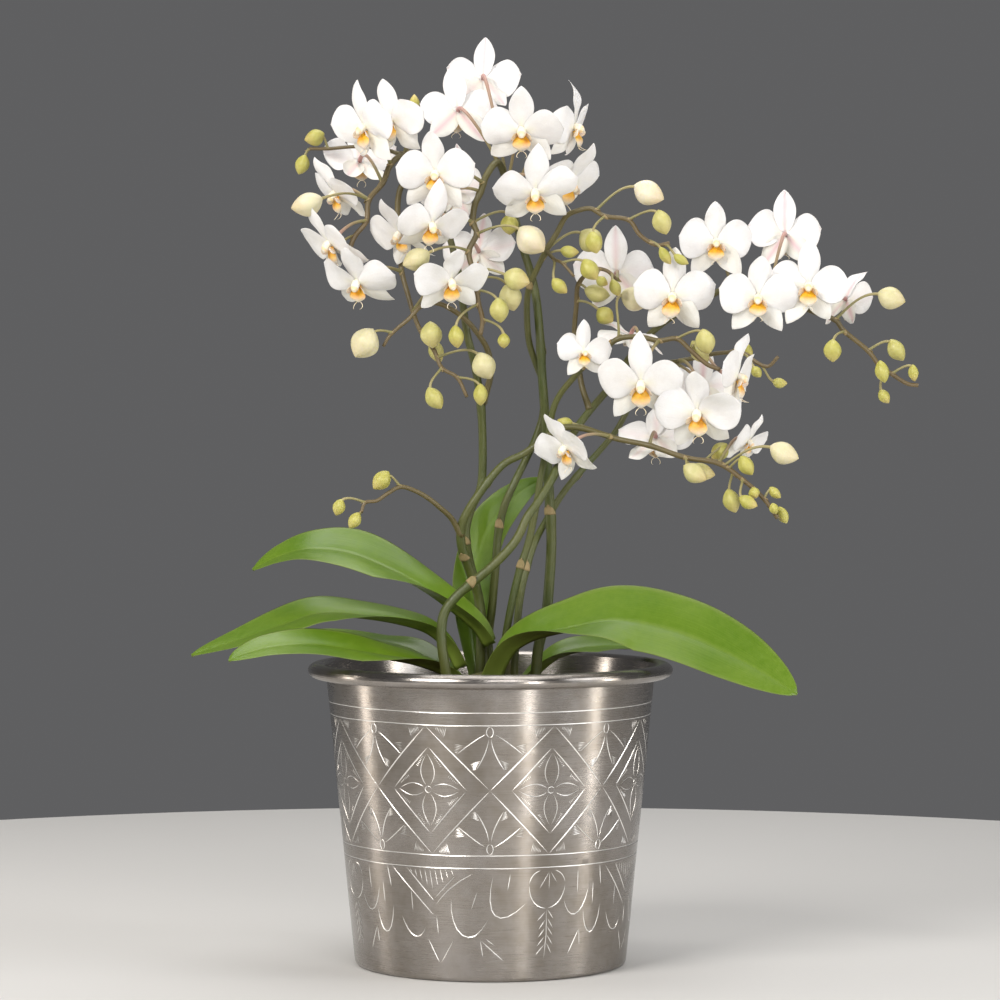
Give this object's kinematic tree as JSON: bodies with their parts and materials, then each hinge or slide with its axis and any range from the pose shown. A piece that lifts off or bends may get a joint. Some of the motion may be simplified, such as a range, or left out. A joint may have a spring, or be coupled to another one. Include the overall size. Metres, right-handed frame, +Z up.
{
  "type": "potted orchid",
  "caption": "Moth orchid with arching branched spikes of small white flowers and strap leaves, standing in a chased, spun metal cover pot with a rolled rim.",
  "frame": {"origin": "centre of the cover pot's base, on the surface that it stands on", "axes": "+Z up along the pot's axis; -Y faces the viewer; +X to the viewer's right, the side that the longest spike arches to"},
  "size_m": [0.3765, 0.19, 0.4839],
  "materials": {
    "cover_pot": "spun and brushed, hand-chased, lightly tarnished",
    "nursery_pot": "clear, thin, slightly scratched",
    "bark": "rough, dry pine bark chips",
    "stem": "smooth, waxy, green turning red-brown",
    "leaf": "thick, waxy, semi-gloss",
    "tepal": "soft, matt, slightly sparkling white",
    "lip": "waxy white and yellow with red-brown stripes",
    "bud": "smooth, waxy yellow-green"
  },
  "bodies": {
    "root": {"metal_pot": "cover_pot", "grow_pot": "nursery_pot", "bark_medium": "bark", "crown_front": "stem", "crown_back": "stem", "leaf_left_upper": "leaf", "leaf_left_middle": "leaf", "leaf_left_lower": "leaf", "leaf_left_back": "leaf", "leaf_right_front": "leaf", "leaf_right_back": "leaf", "leaf_upright": "leaf", "spike_left_tall": "stem", "left_tall_flower_1": "tepal", "left_tall_flower_2": "tepal", "left_tall_flower_3": "tepal", "left_tall_flower_4": "tepal", "left_tall_flower_5": "tepal", "left_tall_flower_6": "tepal", "left_tall_flower_7": "tepal", "left_tall_flower_8": "tepal", "spike_left_arch": "stem", "left_arch_flower_1": "tepal", "left_arch_flower_2": "tepal", "left_arch_flower_3": "tepal", "spike_front_arch": "stem", "front_arch_flower_1": "tepal", "front_arch_flower_2": "tepal", "front_arch_flower_3": "tepal", "front_arch_flower_4": "tepal", "front_arch_flower_5": "tepal", "front_arch_flower_6": "tepal", "front_arch_flower_7": "tepal", "spike_middle": "stem", "spike_slender_left": "stem", "slender_left_flower_1": "tepal", "slender_left_flower_2": "tepal", "slender_left_flower_3": "tepal", "spike_slender_right": "stem", "slender_right_flower_1": "tepal", "slender_right_flower_2": "tepal", "slender_right_flower_3": "tepal", "spike_right_tall": "stem", "right_tall_flower_1": "tepal", "right_tall_flower_2": "tepal", "right_tall_flower_3": "tepal", "right_tall_flower_4": "tepal", "right_tall_flower_5": "tepal", "right_tall_flower_6": "tepal", "right_tall_flower_7": "tepal", "right_tall_flower_8": "tepal", "right_tall_flower_9": "tepal", "right_tall_flower_10": "tepal"}
  },
  "joints": []
}
